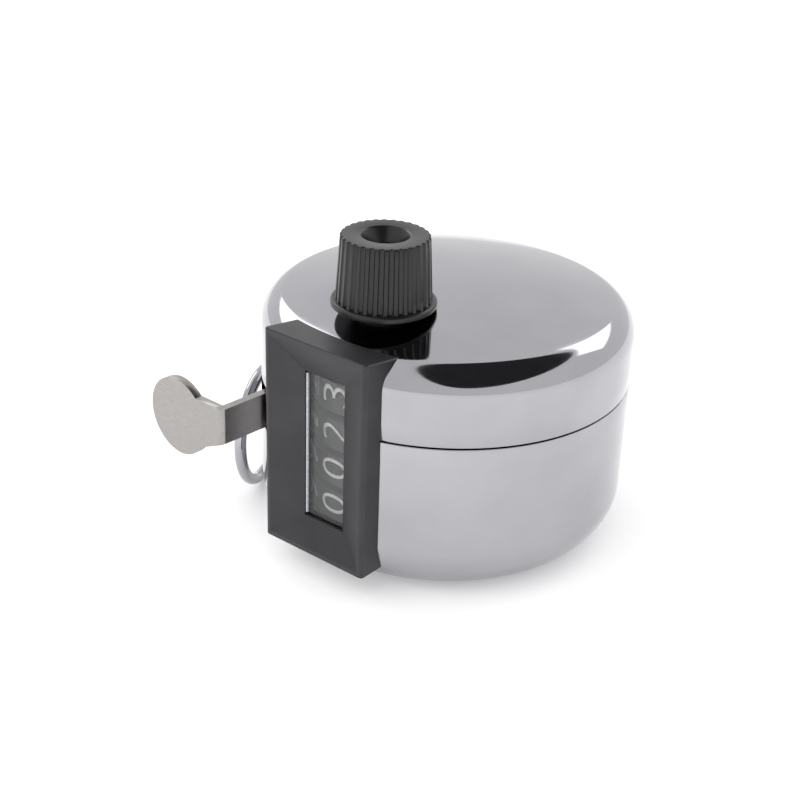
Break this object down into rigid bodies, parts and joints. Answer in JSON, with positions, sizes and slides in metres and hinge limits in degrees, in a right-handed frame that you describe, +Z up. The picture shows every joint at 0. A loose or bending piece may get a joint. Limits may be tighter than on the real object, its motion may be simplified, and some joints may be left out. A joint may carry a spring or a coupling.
{
  "type": "hand tally counter",
  "caption": "Hand tally counter: round chrome case with domed top, dark framed window over a column of number wheels, fluted reset knob, bent sheet thumb lever and folding finger ring",
  "frame": {"origin": "centre of the flat base of the case, on the case's axis", "axes": "+Z up along the case's axis toward the reset knob; -Y toward the window; -X toward the thumb lever and finger ring"},
  "size_m": [0.0492, 0.0483, 0.0399],
  "materials": {
    "chrome": "polished chrome-plated steel sheet and wire",
    "bezel_plastic": "satin dark grey moulded plastic",
    "clear_lens": "clear polished acrylic",
    "knob_plastic": "near-black moulded plastic, fluted",
    "zinc_steel": "zinc-plated steel",
    "brass": "turned brass",
    "bright_steel": "ground bright steel",
    "spring_steel": "spring steel wire and strip",
    "satin_steel": "satin nickel-plated steel sheet",
    "wheel_plastic": "dark grey moulded plastic with white numerals",
    "pinion_plastic": "white acetal"
  },
  "bodies": {
    "case": {"lower_shell": "chrome", "upper_shell": "chrome", "bezel": "bezel_plastic", "window_lens": "clear_lens", "knob_bush": "knob_plastic", "ring_bracket": "chrome", "bracket_rivets": "chrome", "lower_frame_plate": "zinc_steel", "upper_frame_plate": "zinc_steel", "frame_posts": "brass", "base_screws": "zinc_steel", "frame_screws": "zinc_steel", "lower_bush": "brass", "pinion_shaft": "bright_steel", "pinion_spacers": "bright_steel", "lever_pivot_pin": "bright_steel", "pivot_washers": "brass", "return_spring": "spring_steel", "holding_spring": "spring_steel"},
    "lever": {"thumb_lever": "satin_steel", "pawl_pin": "bright_steel", "pawl_spring": "spring_steel"},
    "pawl": {"drive_pawl": "bright_steel"},
    "units": {"units_wheel": "wheel_plastic", "ratchet_wheel": "brass"},
    "tens": {"tens_wheel": "wheel_plastic"},
    "hundreds": {"hundreds_wheel": "wheel_plastic"},
    "thousands": {"thousands_wheel": "wheel_plastic"},
    "units_carry": {"units_pinion": "pinion_plastic"},
    "tens_carry": {"tens_pinion": "pinion_plastic"},
    "hundreds_carry": {"hundreds_pinion": "pinion_plastic"},
    "knob": {"reset_knob": "knob_plastic", "wheel_shaft": "bright_steel", "shaft_clip": "spring_steel", "knob_screw": "bright_steel"},
    "ring": {"finger_ring": "chrome"}
  },
  "joints": [
    {"name": "lever_press", "type": "hinge", "parent": "case", "child": "lever", "pos_m": [0.0118, -0.01, 0.015], "axis": [0, 0, -1], "range_deg": [0, 9], "stiffness_Nm_per_rad": 0.25, "springref_deg": -11.46},
    {"name": "pawl_swing", "type": "hinge", "parent": "lever", "child": "pawl", "pos_m": [-0.008, -0.0152, 0.0262], "axis": [0, 0, 1], "range_deg": [0, 12], "stiffness_Nm_per_rad": 0.002, "springref_deg": -11.46},
    {"name": "units_spin", "type": "hinge", "parent": "case", "child": "units", "pos_m": [0, -0.0123, 0.0224], "axis": [0, 0, -1], "continuous": true},
    {"name": "tens_spin", "type": "hinge", "parent": "case", "child": "tens", "pos_m": [0, -0.0123, 0.0177], "axis": [0, 0, -1], "continuous": true},
    {"name": "hundreds_spin", "type": "hinge", "parent": "case", "child": "hundreds", "pos_m": [0, -0.0123, 0.013], "axis": [0, 0, -1], "continuous": true},
    {"name": "thousands_spin", "type": "hinge", "parent": "case", "child": "thousands", "pos_m": [0, -0.0123, 0.0083], "axis": [0, 0, -1], "continuous": true},
    {"name": "units_carry_spin", "type": "hinge", "parent": "case", "child": "units_carry", "pos_m": [0.00847, -0.01379, 0.0203], "axis": [0, 0, -1], "continuous": true},
    {"name": "tens_carry_spin", "type": "hinge", "parent": "case", "child": "tens_carry", "pos_m": [0.00847, -0.01379, 0.0156], "axis": [0, 0, -1], "continuous": true},
    {"name": "hundreds_carry_spin", "type": "hinge", "parent": "case", "child": "hundreds_carry", "pos_m": [0.00847, -0.01379, 0.0109], "axis": [0, 0, -1], "continuous": true},
    {"name": "reset_turn", "type": "hinge", "parent": "case", "child": "knob", "pos_m": [0, -0.0123, 0.036], "axis": [0, 0, 1], "continuous": true},
    {"name": "ring_swing", "type": "hinge", "parent": "case", "child": "ring", "pos_m": [-0.02525, -0.00067, 0.009], "axis": [0, 0, -1], "range_deg": [0, 100]}
  ],
  "couplings": [
    {"joint": "tens_spin", "follows": "units_spin", "ratio": 0.1},
    {"joint": "hundreds_spin", "follows": "units_spin", "ratio": 0.01},
    {"joint": "thousands_spin", "follows": "units_spin", "ratio": 0.001},
    {"joint": "units_carry_spin", "follows": "units_spin", "ratio": -0.25},
    {"joint": "tens_carry_spin", "follows": "units_spin", "ratio": -0.025},
    {"joint": "hundreds_carry_spin", "follows": "units_spin", "ratio": -0.0025}
  ]
}
